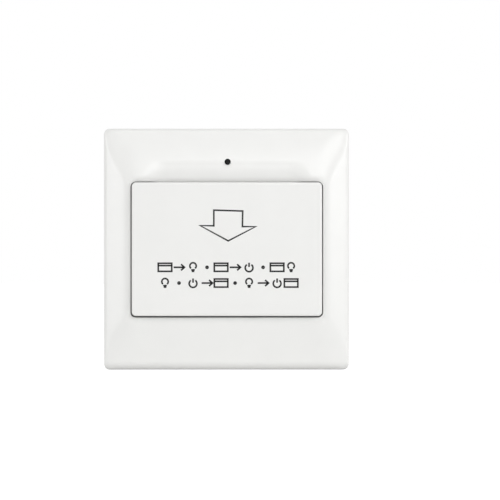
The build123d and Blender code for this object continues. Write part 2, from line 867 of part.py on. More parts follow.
def main_board():
    """The power board, notched at the corners to pass the cover's bosses."""
    through = (board_back_out - overrun, board_front_out + overrun)
    across = (-board_half, board_half)
    board = block(across, (-board_half_height, board_half_height), (board_back_out, board_front_out))
    notch_x = cover_screw_x - cover_boss_radius - board_notch_play
    notch_z = cover_screw_z - cover_boss_radius - board_notch_play
    for side, end in quarters(1, 1):
        board -= block((side * notch_x, side * box_half), (end * notch_z, end * box_half_height), through)
    for x, z in post_places():
        board -= rod(board_screw_radius + hole_play, through, x, z)
    for x in link_pin_places():
        board -= link_pin_hole(x, through)
    for x in pole_places():
        board -= contact_pin(x, through)
    return board


def board_screws():
    """Two screws that hold the main board to its posts."""
    sizes = (board_screw_radius, board_screw_length, board_screw_head_radius, board_screw_head_height)
    return group([screw(x, z, board_front_out, 1, sizes) for x, z in post_places()])


def on_board(place_shares):
    """A place on the main board, at shares of its half sizes."""
    return board_half * place_shares[0], board_half_height * place_shares[1]


def boxed_component(place_shares, length, width, height):
    """A box that stands on the front of the main board."""
    x, z = on_board(place_shares)
    return block(span(x, length), span(z, width), (board_front_out, board_front_out + height))


def relay():
    """The relay that switches the room's supply."""
    body = boxed_component(relay_place_shares, relay_length, relay_width, relay_height)
    return fillet(body.edges().filter_by(Axis.Y), component_round)


def film_capacitor():
    """The boxed film capacitor of the supply."""
    sizes = (film_capacitor_length, film_capacitor_width, film_capacitor_height)
    body = boxed_component(film_capacitor_place_shares, *sizes)
    return fillet(body.edges().filter_by(Axis.Y), component_round)


def filter_capacitors():
    """Two upright electrolytic capacitors."""
    cans = []
    for place_shares in filter_capacitor_place_shares:
        out = (board_front_out, board_front_out + filter_capacitor_height)
        can = rod(filter_capacitor_radius, out, *on_board(place_shares))
        cans.append(chamfer(can.faces().sort_by(Axis.Y)[0].edges(), small_chamfer))
    return group(cans)


def varistor():
    """The disc that takes voltage surges, on its two legs."""
    x, z = on_board(varistor_place_shares)
    centre_out = board_front_out + varistor_lift + varistor_radius
    disc = upright_rod(varistor_radius, span(z, varistor_thickness), x, centre_out)
    for leg_x in span(x, varistor_radius):
        leg_up = span(z, varistor_leg_width)
        disc += block(span(leg_x, varistor_leg_width), leg_up, (board_front_out, centre_out))
    return disc


def fuse():
    """The boxed fuse."""
    return boxed_component(fuse_place_shares, fuse_length, fuse_width, fuse_height)


def bridge_rectifier():
    """The flat bridge rectifier."""
    return boxed_component(rectifier_place_shares, rectifier_length, rectifier_width, rectifier_height)


def microcontroller():
    """The small controller."""
    return boxed_component(controller_place_shares, controller_length, controller_width, controller_height)


def link_pin_places():
    """Where the link pins stand, from left to right."""
    return [link_pin_pitch * (number - (link_pin_count - 1) / 2) for number in range(link_pin_count)]


def link_pin_hole(x, out):
    """The space that one square link pin takes through a board or a strip."""
    width = link_pin_width + 2 * screw_play
    return block(span(x, width), span(link_z, width), (min(out) - overrun, max(out) + overrun))


def link_pins():
    """Square pins that join the two boards."""
    out = (board_back_out - link_pin_stick_out, reader_front_out + link_pin_stick_out)
    up = span(link_z, link_pin_width)
    return group([block(span(x, link_pin_width), up, out) for x in link_pin_places()])


def link_header():
    """The strip that holds the link pins on the main board."""
    out = (board_front_out, board_front_out + link_header_height)
    strip = block(span(0, link_pin_count * link_pin_pitch), span(link_z, link_header_width), out)
    for x in link_pin_places():
        strip -= link_pin_hole(x, out)
    return strip


# Terminals


def pole_places():
    """Where the four poles stand, from left to right."""
    return [pole_pitch * (number - (pole_count - 1) / 2) for number in range(pole_count)]


def contact_pin(x, out):
    """The contact's foot, which goes through the main board."""
    return block(span(x, contact_foot_width), (contact_foot_z, contact_top_z), out)


def terminal_block():
    """The block of four rising-cage terminals, with wire holes below and screw holes at the back."""
    solid = block((-block_half, block_half), (block_foot, block_top), (block_back_out, board_back_out))
    solid = chamfer(solid.faces().sort_by(Axis.Y)[-1].edges(), block_end_wall / 2)
    wire_out = cage_front_out - cage_wall - contact_rise / 2
    cavity_up = (cage_foot_z, cage_foot_z + cage_length + 2 * cage_play)
    cavity_out = (cavity_back_out, cage_front_out + cage_play)
    bar_out = (contact_back_out - screw_play, contact_front_out + screw_play)
    ring_out = (head_seat_out - overrun, cavity_back_out + overrun)
    head_out = (block_back_out - overrun, head_seat_out + terminal_head_play)
    for x in pole_places():
        solid -= block(span(x, cage_width + 2 * cage_play), cavity_up, cavity_out)
        solid -= upright_rod(wire_hole_radius, (block_foot - overrun, cage_foot_z + overrun), x, wire_out)
        contact_across = span(x, contact_width + 2 * screw_play)
        solid -= block(contact_across, (cage_foot_z, contact_top_z + screw_play), bar_out)
        leg_up = (contact_foot_z - screw_play, contact_top_z + screw_play)
        solid -= block(contact_across, leg_up, (contact_front_out, board_back_out))
        solid -= rod(terminal_screw_radius + hole_play, ring_out, x, cage_middle_z)
        solid -= rod(terminal_screw_head_radius + hole_play, head_out, x, cage_middle_z)
    return solid


def terminal_contacts():
    """Four bent contacts, each from inside its cage to the main board."""
    contacts = []
    for x in pole_places():
        across = span(x, contact_width)
        bar = block(across, (cage_foot_z, contact_top_z), (contact_back_out, contact_front_out))
        bar += block(across, (contact_foot_z, contact_top_z), (contact_back_out, board_back_out))
        bar += contact_pin(x, (board_back_out, board_front_out + contact_pin_stick_out))
        contacts.append(bar)
    return group(contacts)


def terminal_screw(x):
    """One slotted clamp screw, turning in place."""
    length = screw_tip_out - head_seat_out
    sizes = (terminal_screw_radius, length, terminal_screw_head_radius, terminal_screw_head_height)
    return screw(x, cage_middle_z, head_seat_out, -1, sizes)


def terminal_cage(x):
    """One clamp cage, a square tube that the screw pulls back against the wire."""
    up = span(cage_middle_z, cage_length)
    cage = block(span(x, cage_width), up, (cage_back_out, cage_front_out))
    mouth_up = span(cage_middle_z, cage_length + 2 * overrun)
    mouth_out = (cage_back_out + cage_wall, cage_front_out - cage_wall)
    cage -= block(span(x, cage_width - 2 * cage_wall), mouth_up, mouth_out)
    hole_out = (cage_back_out - overrun, cage_back_out + 2 * cage_wall)
    return cage - rod(terminal_screw_radius + terminal_screw_play, hole_out, x, cage_middle_z)


single_pieces = [
    bezel,
    card_panel,
    pocket_tray,
    tray_screws,
    light_pipe,
    card_lever,
    lever_pin,
    switch_plunger,
    card_switch,
    base_housing,
    mounting_screws,
    inner_cover,
    inner_cover_screws,
    reader_board,
    reader_board_screws,
    antenna_track,
    reader_chip,
    indicator_led,
    main_board,
    board_screws,
    relay,
    film_capacitor,
    filter_capacitors,
    varistor,
    fuse,
    bridge_rectifier,
    microcontroller,
    link_header,
    link_pins,
    terminal_block,
    terminal_contacts,
]

os.makedirs("parts", exist_ok=True)
for make in single_pieces:
    export_step(make(), f"parts/{make.__name__}.step")
for number, x in enumerate(pole_places(), start=1):
    export_step(terminal_screw(x), f"parts/terminal_screw_{number}.step")
    export_step(terminal_cage(x), f"parts/terminal_cage_{number}.step")
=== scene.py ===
"""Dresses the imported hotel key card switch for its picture, in the frame's own coordinates.

x runs to the right, y into the wall and z up. Sizes in the classes are millimetres, and places
along y are given as distances out from the wall, as in the part's own source.
"""

import json
import logging
from dataclasses import dataclass, field, replace
from enum import Enum
from math import cos, pi, radians, sin

import bpy
import numpy as np
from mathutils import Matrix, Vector


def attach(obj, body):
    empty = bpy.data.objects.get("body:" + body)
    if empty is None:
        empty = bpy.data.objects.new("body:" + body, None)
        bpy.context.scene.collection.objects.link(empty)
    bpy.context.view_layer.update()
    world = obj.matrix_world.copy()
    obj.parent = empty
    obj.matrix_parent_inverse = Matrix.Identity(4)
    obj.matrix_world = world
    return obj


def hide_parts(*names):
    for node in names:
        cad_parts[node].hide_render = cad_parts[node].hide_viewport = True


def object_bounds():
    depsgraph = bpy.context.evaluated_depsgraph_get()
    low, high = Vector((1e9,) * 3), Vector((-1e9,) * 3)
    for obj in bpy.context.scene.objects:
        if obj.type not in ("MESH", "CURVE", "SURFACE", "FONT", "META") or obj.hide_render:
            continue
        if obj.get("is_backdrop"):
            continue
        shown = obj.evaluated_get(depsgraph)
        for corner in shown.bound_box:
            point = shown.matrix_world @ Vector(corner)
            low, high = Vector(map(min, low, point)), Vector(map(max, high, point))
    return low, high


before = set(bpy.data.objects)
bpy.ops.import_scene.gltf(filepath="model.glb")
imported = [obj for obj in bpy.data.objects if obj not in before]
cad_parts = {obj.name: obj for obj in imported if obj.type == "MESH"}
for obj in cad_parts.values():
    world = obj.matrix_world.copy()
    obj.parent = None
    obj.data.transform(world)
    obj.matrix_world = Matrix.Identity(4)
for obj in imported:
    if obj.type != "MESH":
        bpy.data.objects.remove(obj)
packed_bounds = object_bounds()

Tree = bpy.types.NodeTree
Socket = bpy.types.NodeSocket
Array = np.ndarray
Pair = tuple[float, float]
Triple = tuple[float, float, float]
Colour = tuple[float, float, float, float]

log = logging.getLogger("scene")
MM = 0.001

# Faces that meet at more than this angle keep a sharp edge between them
SHARP_ANGLE = radians(38)
# The sRGB curve: where its straight foot ends, the foot's slope, and the offset and power above
SRGB_FOOT, SRGB_SLOPE, SRGB_OFFSET, SRGB_POWER = 0.04045, 12.92, 0.055, 2.4


class Body(Enum):
    """The body that a dressed piece rides on."""

    FRONT = "front_cover"
    BASE = "base"
    TERMINAL_SCREW_1 = "terminal_screw_1"
    TERMINAL_SCREW_2 = "terminal_screw_2"
    TERMINAL_SCREW_3 = "terminal_screw_3"
    TERMINAL_SCREW_4 = "terminal_screw_4"


class Slot(Enum):
    """The record's material slot that a dressed piece stands for."""

    WHITE_FACE = "white_face"
    ZINC_STEEL = "zinc_steel"
    SMOKED_PIPE = "smoked_pipe"
    CHIP_BLACK = "chip_black"


class Sign(Enum):
    """One of the small generic signs on the panel."""

    CARD = "card"
    ARROW = "arrow"
    LAMP = "lamp"
    POWER = "power"
    DOT = "dot"


# Surfaces


@dataclass
class Patch:
    """A mesh in the making: points in millimetres (x, out, z), and faces with ordered corners."""

    points: Array
    faces: list[list[int]]

    @classmethod
    def from_grid(cls, grid: Array, ring: bool = False, loop: bool = False) -> "Patch":
        """Joins a grid of points into four-cornered faces.

        Args:
            grid: The points, rows by columns by three.
            ring: Whether the last column joins the first.
            loop: Whether the last row joins the first.

        Returns:
            The patch.
        """
        rows, columns = grid.shape[:2]
        row = np.arange(rows if loop else rows - 1)[:, None]
        column = np.arange(columns if ring else columns - 1)[None, :]
        here, right = row * columns, (row + 1) % rows * columns
        step = (column + 1) % columns
        faces = np.stack([here + column, right + column, right + step, here + step], axis=-1)
        return cls(grid.reshape(-1, 3), faces.reshape(-1, 4).tolist())

    @classmethod
    def rod(cls, grid: Array) -> "Patch":
        """Joins rings of points, one to a row, into a rod with both ends closed.

        Args:
            grid: The points, rows by columns by three.

        Returns:
            The patch.
        """
        rows, columns = grid.shape[:2]
        patch = cls.from_grid(grid, ring=True)
        last = range((rows - 1) * columns, rows * columns)
        patch.faces += [list(range(columns)), list(last)[::-1]]
        return patch

    def flipped(self) -> "Patch":
        """Turns every face round."""
        return Patch(self.points, [face[::-1] for face in self.faces])


def add_object(name: str, data: bpy.types.ID) -> bpy.types.Object:
    """Puts an object with some data into the scene.

    Args:
        name: The object's name.
        data: Its mesh, light or camera.

    Returns:
        The object, at the origin.
    """
    added = bpy.data.objects.new(name, data)
    bpy.context.scene.collection.objects.link(added)
    return added


def add_mesh(name: str, patches: list[Patch]) -> bpy.types.Object:
    """Makes one object of some patches.

    Args:
        name: The object's name.
        patches: What it is made of.

    Returns:
        The object, at the origin.
    """
    starts = np.cumsum([0] + [len(patch.points) for patch in patches])
    points = np.concatenate([patch.points for patch in patches]) * MM
    points[:, 1] *= -1
    faces = [
        [int(start) + corner for corner in face]
        for start, patch in zip(starts, patches)
        for face in patch.faces
    ]
    mesh = bpy.data.meshes.new(name)
    mesh.from_pydata(points.tolist(), [], faces)
    mesh.validate()
    mesh.shade_smooth()
    mesh.set_sharp_from_angle(angle=SHARP_ANGLE)
    return add_object(name, mesh)


def soft_max(one: Array, other: Array, width: float) -> Array:
    """The greater of two heights, with a rounded change of a given width.

    The two are mixed by a share that runs from 0 to 1 over the width, and a parabola of that share
    is added so that the slope changes evenly.

    Args:
        one: The first heights.
        other: The second heights.
        width: How wide the change is.

    Returns:
        The heights.
    """
    mix = np.clip(0.5 + 0.5 * (one - other) / width, 0, 1)
    return other * (1 - mix) + one * mix + width * mix * (1 - mix)


def signed_power(values: Array, exponent: float) -> Array:
    """Raises the size of each value to a power and keeps its sign."""
    return np.sign(values) * np.abs(values) ** exponent


def arc(radius: float, rise: float, start: float, end: float, count: int) -> Array:
    """Points round a part of a circle, from the cosine and the sine of even steps.

    Args:
        radius: The circle's radius.
        rise: How far its middle is above the origin.
        start: The first angle in degrees, from the right and against the clock.
        end: The last angle in degrees.
        count: How many points there are.

    Returns:
        The points (x, z).
    """
    turn = np.radians(np.linspace(start, end, count))
    return np.stack([radius * np.cos(turn), rise + radius * np.sin(turn)], axis=1)


# Finishes


def linear(code: str) -> Colour:
    """A colour given as six sRGB hex digits, in the linear values that shaders take.

    Args:
        code: The digits.

    Returns:
        Red, green, blue and full opacity.
    """
    shares = np.array([int(code[place : place + 2], 16) for place in (0, 2, 4)]) / 255
    powers = ((shares + SRGB_OFFSET) / (1 + SRGB_OFFSET)) ** SRGB_POWER
    return (*np.where(shares <= SRGB_FOOT, shares / SRGB_SLOPE, powers).tolist(), 1.0)


def shade(code: str, factor: float) -> Colour:
    """A hex colour with each of its linear values multiplied by a factor."""
    red, green, blue, _ = linear(code)
    return (min(red * factor, 1.0), min(green * factor, 1.0), min(blue * factor, 1.0), 1.0)


def blank_tree(owner: bpy.types.Material | bpy.types.World) -> Tree:
    """Gives a material or a world an empty tree of nodes.

    Args:
        owner: The material or world.

    Returns:
        Its tree.
    """
    owner.use_nodes = True
    owner.node_tree.nodes.clear()
    return owner.node_tree


def add_node(tree: Tree, kind: str, inputs: dict | None = None, **settings) -> bpy.types.Node:
    """Adds one node to a material.

    Args:
        tree: The material's tree.
        kind: The node's type, without its common prefix.
        inputs: Each input's name with its value, or with the output that feeds it.
        settings: The node's own settings.

    Returns:
        The node.
    """
    added = tree.nodes.new(f"ShaderNode{kind}")
    for key, value in settings.items():
        setattr(added, key, value)
    for key, value in (inputs or {}).items():
        if isinstance(value, Socket):
            tree.links.new(value, added.inputs[key])
        else:
            added.inputs[key].default_value = value
    return added


@dataclass(frozen=True)
class Finish:
    """A material whose grain and mottle are sized in millimetres on the object itself.

    The mottle is the slow drift of tone that a moulding or a rolled sheet has, and the grain is the
    fine relief that breaks its highlights up. The corner shade is painted shade: it darkens the
    base colour in nooks within a short reach.
    """

    name: str
    colour: str
    roughness: float = 0.35
    metallic: float = 0.0
    grain: float = 0.3
    grain_height: float = 0.006
    mottle: float = 9.0
    mottle_depth: float = 0.03
    coat: float = 0.0
    stretch: Triple = (1.0, 1.0, 1.0)
    # Painted shade in the base colour: how strongly nooks darken, and within what reach in
    # millimetres
    painted_corner_shade: float = 0.0
    painted_shade_reach: float = 3.0
    extra: dict = field(default_factory=dict)
    mottle_stops: Pair = (0.3, 0.7)
    mottle_detail: float = 4.0
    grain_detail: float = 3.0
    relief_strength: float = 0.6
    roughness_spread: float = 0.15
    coat_roughness: float = 0.12

    def tone(self, tree: Tree, place: Socket) -> Socket:
        """The base colour: a noise drifts between a darker and a paler tone, and painted shade
        darkens nooks.

        Args:
            tree: The material's tree.
            place: The place on the object.

        Returns:
            The colour's output.
        """
        clouds = {"Vector": place, "Scale": 1 / (self.mottle * MM), "Detail": self.mottle_detail}
        cloud = add_node(tree, "TexNoise", clouds)
        ramp = add_node(tree, "ValToRGB", {"Fac": cloud.outputs[0]})
        for element, stop, sign in zip(ramp.color_ramp.elements, self.mottle_stops, (-1, 1)):
            element.position = stop
            element.color = shade(self.colour, 1 + sign * self.mottle_depth)
        tone = ramp.outputs["Color"]
        if not self.painted_corner_shade:
            return tone
        # Painted shade: ambient occlusion darkens the base colour in nooks, mixed in by the corner
        # shade
        painted_shade_inputs = {"Color": tone, "Distance": self.painted_shade_reach * MM}
        painted_shade_node = add_node(tree, "AmbientOcclusion", painted_shade_inputs)
        inputs = {"Fac": self.painted_corner_shade, "Color1": tone, "Color2": painted_shade_node.outputs["Color"]}
        return add_node(tree, "MixRGB", inputs).outputs[0]

    def material(self) -> bpy.types.Material:
        """Builds the node material: the tone, and one fine noise in both relief and roughness.

        Returns:
            The material.
        """
        material = bpy.data.materials.new(self.name)
        tree = blank_tree(material)
        place = add_node(tree, "TexCoord").outputs["Object"]
        spread = add_node(tree, "Mapping", {"Vector": place, "Scale": self.stretch}).outputs[0]
        grains = {"Vector": spread, "Scale": 1 / (self.grain * MM), "Detail": self.grain_detail}
        grain = add_node(tree, "TexNoise", grains).outputs[0]
        height = {"Distance": self.grain_height * MM, "Strength": self.relief_strength}
        relief = add_node(tree, "Bump", {"Height": grain} | height)
        smooth = self.roughness * (1 - self.roughness_spread)
        dull = self.roughness * (1 + self.roughness_spread)
        rough = add_node(tree, "MapRange", {"Value": grain, "To Min": smooth, "To Max": dull})
        inputs = {
            "Base Color": self.tone(tree, place),
            "Metallic": self.metallic,
            "Roughness": rough.outputs[0],
            "Coat Weight": self.coat,
            "Coat Roughness": self.coat_roughness,
            "Normal": relief.outputs[0],
        }
        shader = add_node(tree, "BsdfPrincipled", inputs | self.extra)
        add_node(tree, "OutputMaterial", {"Surface": shader.outputs[0]})
        return material


@dataclass(frozen=True)
class BoardFinish(Finish):
    """FR4 laminate under solder mask: tracks run in blocks a pin's pitch apart and show paler."""

    track: str = "2f7d4a"
    track_pitch: float = 2.54
    track_width: float = 0.09
    block_width: float = 2.6
    block_height: float = 0.5
    second_tone: float = 1.25

    def tone(self, tree: Tree, place: Socket) -> Socket:
        """Mask over bare laminate, with the paler copper tracks showing through it.

        Args:
            tree: The material's tree.
            place: The place on the object.

        Returns:
            The colour's output.
        """
        facing = {"Vector": place, "Rotation": (pi / 2, 0.0, 0.0)}
        inputs = {
            "Vector": add_node(tree, "Mapping", facing).outputs[0],
            "Color1": linear(self.colour),
            "Color2": shade(self.colour, self.second_tone),
            "Mortar": linear(self.track),
            "Scale": 1 / (self.track_pitch * MM),
            "Mortar Size": self.track_width,
            "Brick Width": self.block_width,
            "Row Height": self.block_height,
        }
        return add_node(tree, "TexBrick", inputs).outputs["Color"]


@dataclass(frozen=True)
class CanFinish(Finish):
    """An electrolytic can: a plastic sleeve with the bare aluminium showing at the top."""

    top_out: float = -8.2
    lip: float = 0.35
    metal: str = "c9cbcd"
    metal_roughness: float = 0.3

    def material(self) -> bpy.types.Material:
        """Builds the sleeve, then lays bare metal over what stands above the sleeve's lip.

        Returns:
            The material.
        """
        material = super().material()
        tree = material.node_tree
        place = add_node(tree, "TexCoord").outputs["Object"]
        height = add_node(tree, "SeparateXYZ", {"Vector": place}).outputs["Y"]
        edge = -(self.top_out - self.lip) * MM
        bare = add_node(tree, "Math", {0: height, 1: edge}, operation="LESS_THAN").outputs[0]
        shader = next(node for node in tree.nodes if node.type == "BSDF_PRINCIPLED")
        inputs = {"Base Color": linear(self.metal), "Roughness": self.metal_roughness}
        metal = add_node(tree, "BsdfPrincipled", inputs | {"Metallic": 1.0})
        layers = {0: bare, 1: shader.outputs[0], 2: metal.outputs[0]}
        blend = add_node(tree, "MixShader", layers)
        output = next(node for node in tree.nodes if node.type == "OUTPUT_MATERIAL")
        tree.links.new(blend.outputs[0], output.inputs["Surface"])
        return material


# Light that passes into a pale plastic and spreads there, and a dark one that hardly mirrors
WAXY = {"Subsurface Weight": 0.15, "Subsurface Scale": 0.001}
MILKY = {"Subsurface Weight": 0.2, "Subsurface Scale": 0.001}
DULL = {"Specular IOR Level": 0.15}

# Glossy white ABS of the moulded covers: a hard sheen over a very fine spark-eroded grain, with
# painted shade in its nooks
WHITE_FACE = Finish(
    "abs_white_gloss",
    "EFEFED",
    0.3,
    grain=0.5,
    grain_height=0.002,
    mottle_depth=0.008,
    coat=0.25,
    painted_corner_shade=0.3,
)
# Plain white ABS inside the cover, matt from the tool
WHITE_INNER = Finish("abs_white_matt", "E4E4E1", 0.55, grain=0.35, mottle_depth=0.015)
# Polycarbonate of the wall plate, a shade greyer and more matt than the cover
WHITE_BASE = Finish("pc_pale_grey", "DADBD8", 0.5, grain_height=0.008, mottle_depth=0.02)
# Zinc-plated steel of the machine screws, with turned marks running round
ZINC_STEEL = Finish("steel_zinc", "BFC3C6", 0.3, 1.0, grain=0.12, stretch=(1.0, 6.0, 1.0))
# Ground steel of the pin, bright with marks along it
BRIGHT_STEEL = Finish("steel_ground", "C9CBCC", 0.18, 1.0, grain=0.08, stretch=(8.0, 1.0, 1.0))
# Smoked polycarbonate of the light pipe: near black, with only a dull highlight when unlit
SMOKED_PIPE = Finish("pc_smoked", "020202", 0.3, grain_height=0.0, extra=DULL)
# Natural polyamide of the lever, waxy and slightly translucent
NYLON = Finish("pa66_natural", "DEDACB", 0.45, extra=WAXY)
# Acetal of the switch's button, an even satin red
SWITCH_BUTTON = Finish("pom_red", "A3231F", 0.35)
# Glass-filled PBT of the switch's body, black and slightly rough
SWITCH_BLACK = Finish("pbt_black", "191A1B", 0.5, grain=0.2, grain_height=0.01)
# FR4 boards under green mask, glossy where the mask has flowed out
BOARD_GREEN = BoardFinish("fr4_green", "17603A", 0.3, grain=0.4, coat=0.4)
# Bare etched copper of the antenna, orange and softly bright
COPPER = Finish("copper_etched", "C4774A", 0.35, 1.0, grain=0.2)
# Epoxy of moulded chips, a dull sooty black
CHIP_BLACK = Finish("epoxy_black", "1C1C1D", 0.6, grain=0.1, grain_height=0.008)
# Silicone over the lamp's die, milky
LAMP_WHITE = Finish("silicone_white", "EDEBDC", 0.3, extra=MILKY)
# PBT case of the relay, a satin blue box
RELAY_BLUE = Finish("pbt_blue", "1F4E96", 0.4)
# Dipped box of the film capacitor, an even satin red
CAPACITOR_RED = Finish("pbt_red", "9C2A20", 0.4)
# Electrolytic cans in a smooth dark sleeve, bare metal at the top
CAN_BLACK = CanFinish("pvc_sleeve_black", "1B1D24", 0.35)
# Epoxy-dipped disc of the varistor, lumpy and semi-gloss
VARISTOR_BLUE = Finish("epoxy_blue", "1E5C9E", 0.35, grain=0.8, grain_height=0.05)
# Thermoset box of the fuse, a dull brown
FUSE_BROWN = Finish("thermoset_brown", "4C3226", 0.5)
# Brass of the cages, contacts and pins, yellow and bright
BRASS = Finish("brass_bright", "C9A350", 0.28, 1.0, grain=0.15)
# Polyamide of the terminal block, matt grey
TERMINAL_GREY = Finish("pa66_grey", "6F7478", 0.5, grain=0.25, grain_height=0.008)
# Pad-printed ink on the panel, flat black without a shine
INK = Finish("ink_black", "0C0C0D", 0.7, grain_height=0.0)

TERMINAL_CAGES = tuple(f"terminal_cage_{number}" for number in range(1, 5))
INNER_SCREWS = ("inner_cover_screws", "reader_board_screws", "board_screws")

DRESSED: tuple[tuple[Finish, tuple[str, ...]], ...] = (
    (WHITE_FACE, ("bezel", "card_panel")),
    (WHITE_INNER, ("pocket_tray", "inner_cover")),
    (WHITE_BASE, ("base_housing",)),
    (ZINC_STEEL, ("mounting_screws", "tray_screws", *INNER_SCREWS)),
    (BRIGHT_STEEL, ("lever_pin",)),
    (SMOKED_PIPE, ("light_pipe",)),
    (NYLON, ("card_lever",)),
    (SWITCH_BUTTON, ("switch_plunger",)),
    (SWITCH_BLACK, ("card_switch", "link_header")),
    (BOARD_GREEN, ("reader_board", "main_board")),
    (COPPER, ("antenna_track",)),
    (CHIP_BLACK, ("reader_chip", "bridge_rectifier", "microcontroller")),
    (LAMP_WHITE, ("indicator_led",)),
    (RELAY_BLUE, ("relay",)),
    (CAPACITOR_RED, ("film_capacitor",)),
    (CAN_BLACK, ("filter_capacitors",)),
    (VARISTOR_BLUE, ("varistor",)),
    (FUSE_BROWN, ("fuse",)),
    (BRASS, ("link_pins", "terminal_contacts", *TERMINAL_CAGES)),
    (TERMINAL_GREY, ("terminal_block",)),
)


@dataclass
class Wardrobe:
    """Makes each finish's material once and lays it on the pieces."""

    made: dict[str, bpy.types.Material] = field(default_factory=dict)

    def dress(self, piece: bpy.types.Object, finish: Finish) -> None:
        """Gives a piece a finish in place of whatever it had.

        Args:
            piece: The object.
            finish: The finish.
        """
        if finish.name not in self.made:
            self.made[finish.name] = finish.material()
        piece.data.materials.clear()
        piece.data.materials.append(self.made[finish.name])

    def dress_frame(self) -> None:
        """Dresses every node of the frame and reports it."""
        for finish, names in DRESSED:
            for node in names:
                self.dress(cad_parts[node], finish)
                log.info("dressed %s in %s", node, finish.name)


@dataclass
class Assembly:
    """A group of pieces that are dressed from a wardrobe as they are made."""

    wardrobe: Wardrobe

    def add(self, piece: bpy.types.Object, body: Body, slot: Slot, finish: Finish) -> None:
        """Lets a new piece ride on a body, dresses it and reports it.

        Args:
            piece: The piece.
            body: The body that it moves with.
            slot: The record's material slot that it stands for; not used.
            finish: What it is dressed in.
        """
        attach(piece, body.value)
        self.wardrobe.dress(piece, finish)
        log.info("made %s: %d faces on %s", piece.name, len(piece.data.polygons), body.value)


# Bezel


@dataclass(frozen=True)
class BarRow:
    """A row of equal round-edged bars inside the cover, at its top and again at its foot.

    A bar is a superellipsoid: powers of a sine and a cosine over two angles. The roundness is the
    power, from near 0, square, to 1, an ellipsoid.
    """

    places: tuple[float, ...]
    out: float
    end: float
    sizes: Triple
    roundness: float
    rows: int = 25
    columns: int = 40

    def patches(self) -> list[Patch]:
        """Works the bar out once and sets it at each place, at either end.

        Returns:
            The bars.
        """
        rise = np.linspace(-pi / 2, pi / 2, self.rows)[1:-1, None]
        turn = np.linspace(0, 2 * pi, self.columns, endpoint=False)[None, :]
        level = signed_power(np.cos(rise), self.roundness)
        x = level * signed_power(np.cos(turn), self.roundness)
        z = level * signed_power(np.sin(turn), self.roundness)
        out = np.broadcast_to(signed_power(np.sin(rise), self.roundness), x.shape)
        bar = np.stack([x, out, z], axis=-1)[:, ::-1] * np.array(self.sizes) / 2
        middles = [(x, self.out, side * self.end) for x in self.places for side in (-1, 1)]
        return [Patch.rod(bar + np.array(middle)) for middle in middles]


@dataclass(frozen=True)
class Tube:
    """A short round tube square to the wall."""

    place: Pair
    outer: float
    inner: float
    low: float
    high: float
    columns: int = 64

    def patch(self) -> Patch:
        """Carries the four corners of the tube's wall once round its axis.

        Returns:
            The tube.
        """
        turn = np.linspace(0, 2 * pi, self.columns, endpoint=False)[None, :]
        radius = np.array([self.outer, self.outer, self.inner, self.inner])[:, None]
        out = np.array([self.low, self.high, self.high, self.low])[:, None]
        x, z = self.place[0] + radius * np.cos(turn), self.place[1] + radius * np.sin(turn)
        grid = np.stack([x, np.broadcast_to(out, x.shape), z], axis=-1)
        return Patch.from_grid(grid, ring=True, loop=True).flipped()


